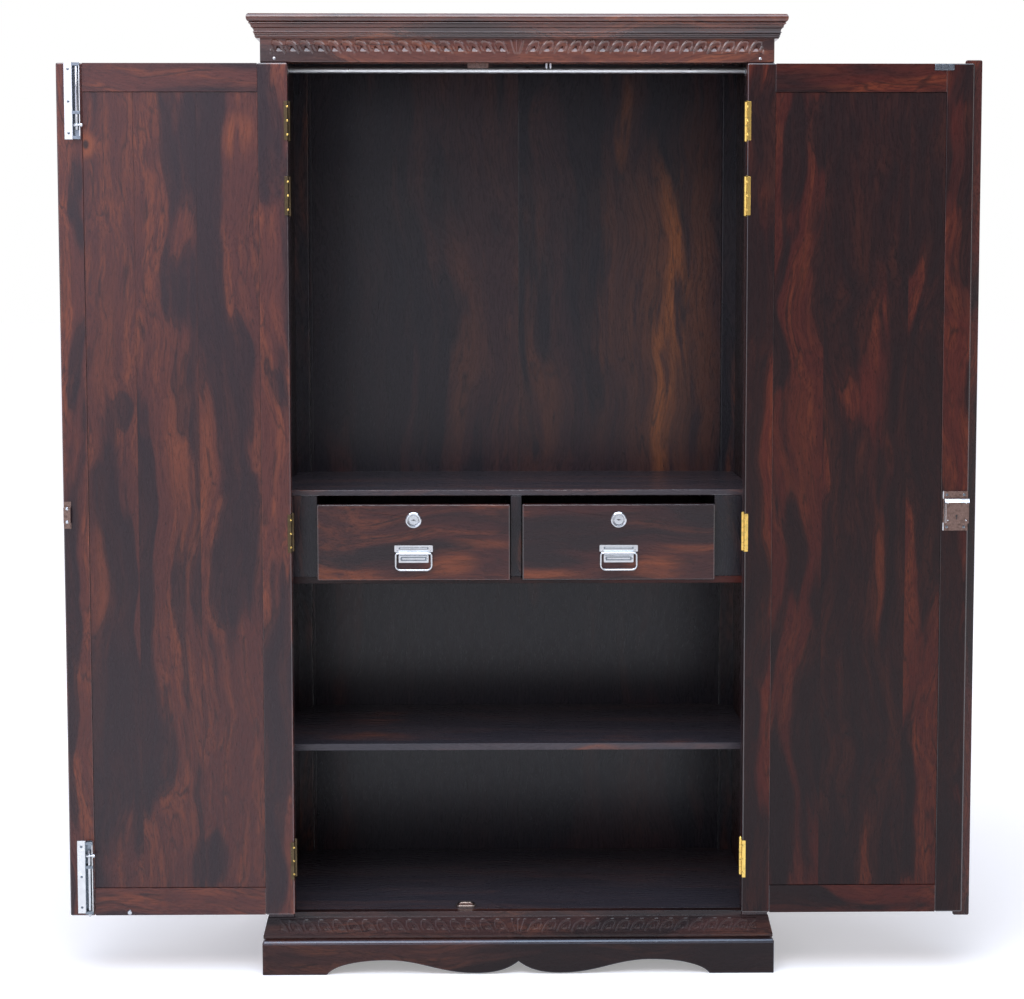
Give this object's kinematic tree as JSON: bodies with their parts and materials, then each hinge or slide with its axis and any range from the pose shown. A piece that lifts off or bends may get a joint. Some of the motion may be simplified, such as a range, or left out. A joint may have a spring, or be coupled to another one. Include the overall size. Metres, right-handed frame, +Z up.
{
  "type": "armoire",
  "caption": "Two-door hardwood wardrobe with a carved frieze, hanging rod, paired lockable inner drawers, shelves and a scalloped plinth; doors folded fully open.",
  "frame": {"origin": "centre of the footprint on the floor, with the doors folded fully open", "axes": "+Z up, +X to the viewer's right facing the front, -Y out of the front"},
  "size_m": [1.802, 0.5622, 1.905],
  "materials": {
    "carcass_wood": "dark stained sheesham, satin lacquer",
    "dark_wood": "dark stained sheesham, gloss lacquer",
    "red_wood": "red-brown stained sheesham, gloss lacquer",
    "carved_wood": "carved sheesham, gloss lacquer",
    "zinc": "bright zinc plated",
    "brass": "polished, slightly tarnished",
    "chrome": "polished"
  },
  "bodies": {
    "cabinet": {"cornice": "carved_wood", "top_board": "carcass_wood", "frieze_rail": "carved_wood", "bottom_rail": "carved_wood", "floor_panel": "carcass_wood", "back_panel": "carcass_wood", "left_front_post": "carcass_wood", "right_front_post": "carcass_wood", "left_back_post": "carcass_wood", "right_back_post": "carcass_wood", "left_side_panel": "carcass_wood", "right_side_panel": "carcass_wood", "plinth_front": "carved_wood", "left_plinth_board": "carved_wood", "right_plinth_board": "carved_wood", "drawer_shelf": "dark_wood", "drawer_deck": "dark_wood", "drawer_divider": "dark_wood", "left_drawer_jamb": "dark_wood", "right_drawer_jamb": "dark_wood", "lower_shelf": "dark_wood", "hanging_rod": "chrome", "left_rod_socket": "chrome", "right_rod_socket": "chrome"},
    "left_door": {"left_door_hinge_stile": "red_wood", "left_door_closing_stile": "red_wood", "left_door_top_rail": "red_wood", "left_door_bottom_rail": "red_wood", "left_door_panel": "red_wood", "left_hinge_1": "brass", "left_hinge_2": "brass", "left_hinge_3": "brass", "left_hinge_4": "brass", "top_bolt_case": "zinc", "bottom_bolt_case": "zinc", "lock_keeper": "zinc"},
    "top_bolt": {"top_bolt_rod": "zinc"},
    "bottom_bolt": {"bottom_bolt_rod": "zinc"},
    "right_door": {"right_door_hinge_stile": "dark_wood", "right_door_closing_stile": "dark_wood", "right_door_top_rail": "dark_wood", "right_door_bottom_rail": "dark_wood", "right_door_panel": "dark_wood", "right_hinge_1": "brass", "right_hinge_2": "brass", "right_hinge_3": "brass", "right_hinge_4": "brass", "astragal": "dark_wood", "rim_lock_case": "zinc"},
    "lock_bolt": {"rim_lock_bolt": "zinc"},
    "left_drawer": {"left_drawer_front": "red_wood", "left_drawer_box": "dark_wood", "left_handle_plate": "zinc"},
    "left_bail": {"left_handle_bail": "chrome"},
    "left_lock": {"left_drawer_lock": "chrome"},
    "right_drawer": {"right_drawer_front": "red_wood", "right_drawer_box": "dark_wood", "right_handle_plate": "zinc"},
    "right_bail": {"right_handle_bail": "chrome"},
    "right_lock": {"right_drawer_lock": "chrome"}
  },
  "joints": [
    {"name": "left_door_hinge", "type": "hinge", "parent": "cabinet", "child": "left_door", "pos_m": [-0.447, -0.236, 0.9], "axis": [0, 0, 1], "range_deg": [0, 180]},
    {"name": "right_door_hinge", "type": "hinge", "parent": "cabinet", "child": "right_door", "pos_m": [0.447, -0.236, 0.9], "axis": [0, 0, -1], "range_deg": [0, 180]},
    {"name": "top_bolt_slide", "type": "slide", "parent": "left_door", "child": "top_bolt", "axis": [0, 0, 1], "range_m": [0, 0.015]},
    {"name": "bottom_bolt_slide", "type": "slide", "parent": "left_door", "child": "bottom_bolt", "axis": [0, 0, -1], "range_m": [0, 0.015]},
    {"name": "lock_bolt_slide", "type": "slide", "parent": "right_door", "child": "lock_bolt", "axis": [1, 0, 0], "range_m": [0, 0.016]},
    {"name": "left_drawer_slide", "type": "slide", "parent": "cabinet", "child": "left_drawer", "axis": [0, 1, 0], "range_m": [-0.27, 0.028]},
    {"name": "left_bail_pivot", "type": "hinge", "parent": "left_drawer", "child": "left_bail", "pos_m": [-0.209, -0.1925, 0.843], "axis": [1, 0, 0], "range_deg": [-90, 0]},
    {"name": "left_lock_turn", "type": "hinge", "parent": "left_drawer", "child": "left_lock", "pos_m": [-0.209, -0.178, 0.91], "axis": [0, -1, 0], "range_deg": [0, 90]},
    {"name": "right_drawer_slide", "type": "slide", "parent": "cabinet", "child": "right_drawer", "axis": [0, 1, 0], "range_m": [-0.27, 0.028]},
    {"name": "right_bail_pivot", "type": "hinge", "parent": "right_drawer", "child": "right_bail", "pos_m": [0.2025, -0.1925, 0.843], "axis": [1, 0, 0], "range_deg": [-90, 0]},
    {"name": "right_lock_turn", "type": "hinge", "parent": "right_drawer", "child": "right_lock", "pos_m": [0.2025, -0.178, 0.91], "axis": [0, -1, 0], "range_deg": [0, 90]}
  ]
}
